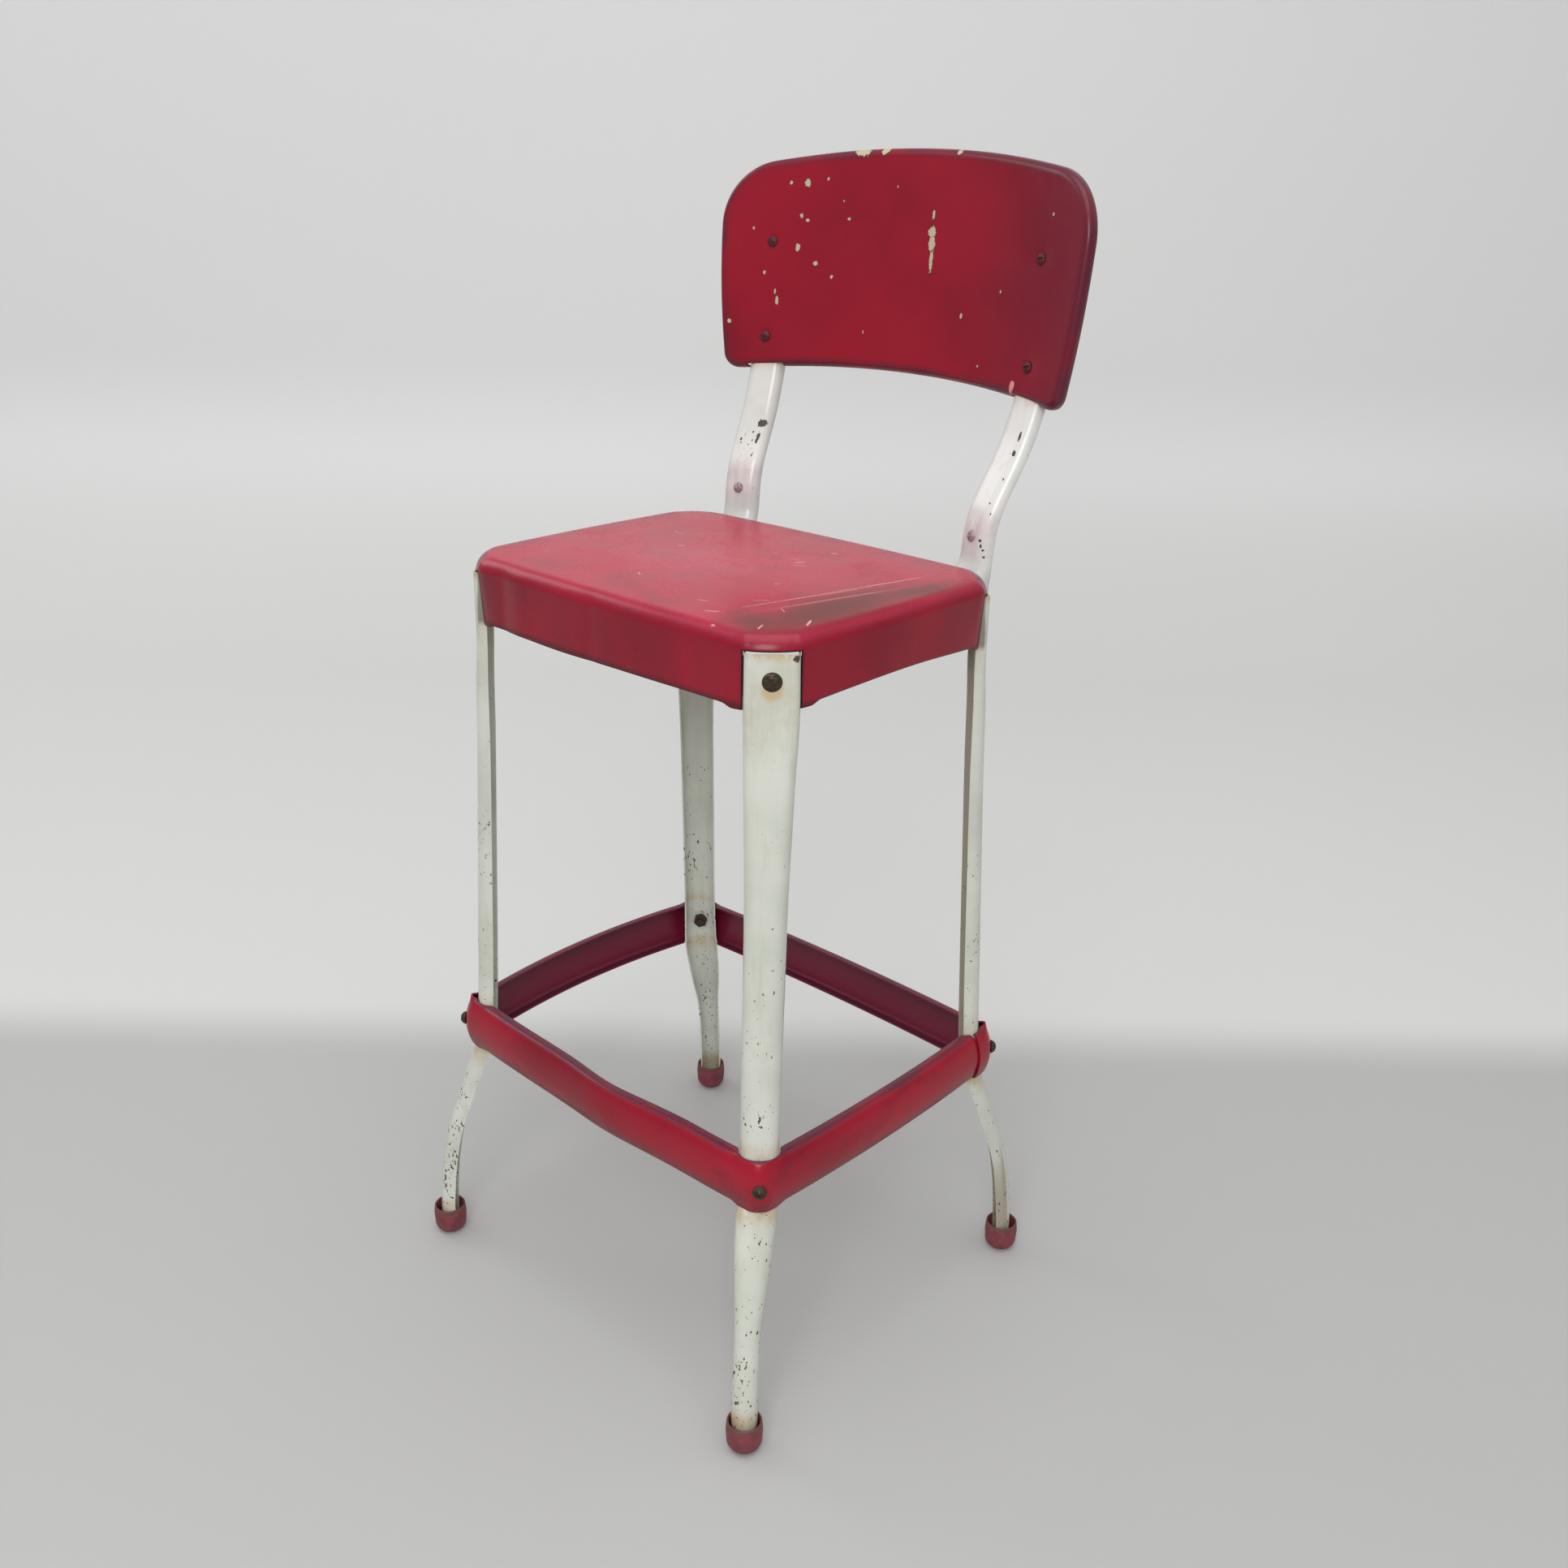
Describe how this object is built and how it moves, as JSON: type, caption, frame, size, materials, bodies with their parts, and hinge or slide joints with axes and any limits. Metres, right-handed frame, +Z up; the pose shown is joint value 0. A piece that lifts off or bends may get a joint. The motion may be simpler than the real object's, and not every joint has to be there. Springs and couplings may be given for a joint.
{
  "type": "bar stool",
  "caption": "High pressed-steel stool: enamelled seat pan on splayed channel legs with a bolted foot ring, rubber feet and a curved back panel on bent posts",
  "frame": {"origin": "on the floor, midway between the four feet", "axes": "+Z up; -Y is the front, towards the sitter's knees, and the backrest stands at +Y; +X is the sitter's left when seated facing -Y"},
  "size_m": [0.3924, 0.3949, 0.8979],
  "materials": {
    "red_enamel": "gloss enamel, chipped",
    "white_enamel": "gloss enamel, rust-speckled",
    "zinc_steel": "dull zinc plate",
    "dark_steel": "rust-browned",
    "red_rubber": "matt, aged"
  },
  "bodies": {
    "root": {"seat_pan": "red_enamel", "leg_front_left": "white_enamel", "leg_front_right": "white_enamel", "leg_back_left": "white_enamel", "leg_back_right": "white_enamel", "foot_cap_front_left": "red_rubber", "foot_cap_front_right": "red_rubber", "foot_cap_back_left": "red_rubber", "foot_cap_back_right": "red_rubber", "corner_bracket_front_left": "zinc_steel", "corner_bracket_front_right": "zinc_steel", "corner_bracket_back_left": "zinc_steel", "corner_bracket_back_right": "zinc_steel", "back_post_left": "white_enamel", "back_post_right": "white_enamel", "post_stiffener_left": "zinc_steel", "post_stiffener_right": "zinc_steel", "backrest_panel": "red_enamel", "foot_ring_front": "red_enamel", "foot_ring_back": "red_enamel", "seat_screws": "dark_steel", "seat_screw_nuts": "zinc_steel", "ring_bolts": "dark_steel", "ring_nuts": "dark_steel", "post_screws": "zinc_steel", "post_nuts": "zinc_steel", "post_rivets": "white_enamel", "backrest_screws": "red_enamel", "backrest_nuts": "zinc_steel"}
  },
  "joints": []
}
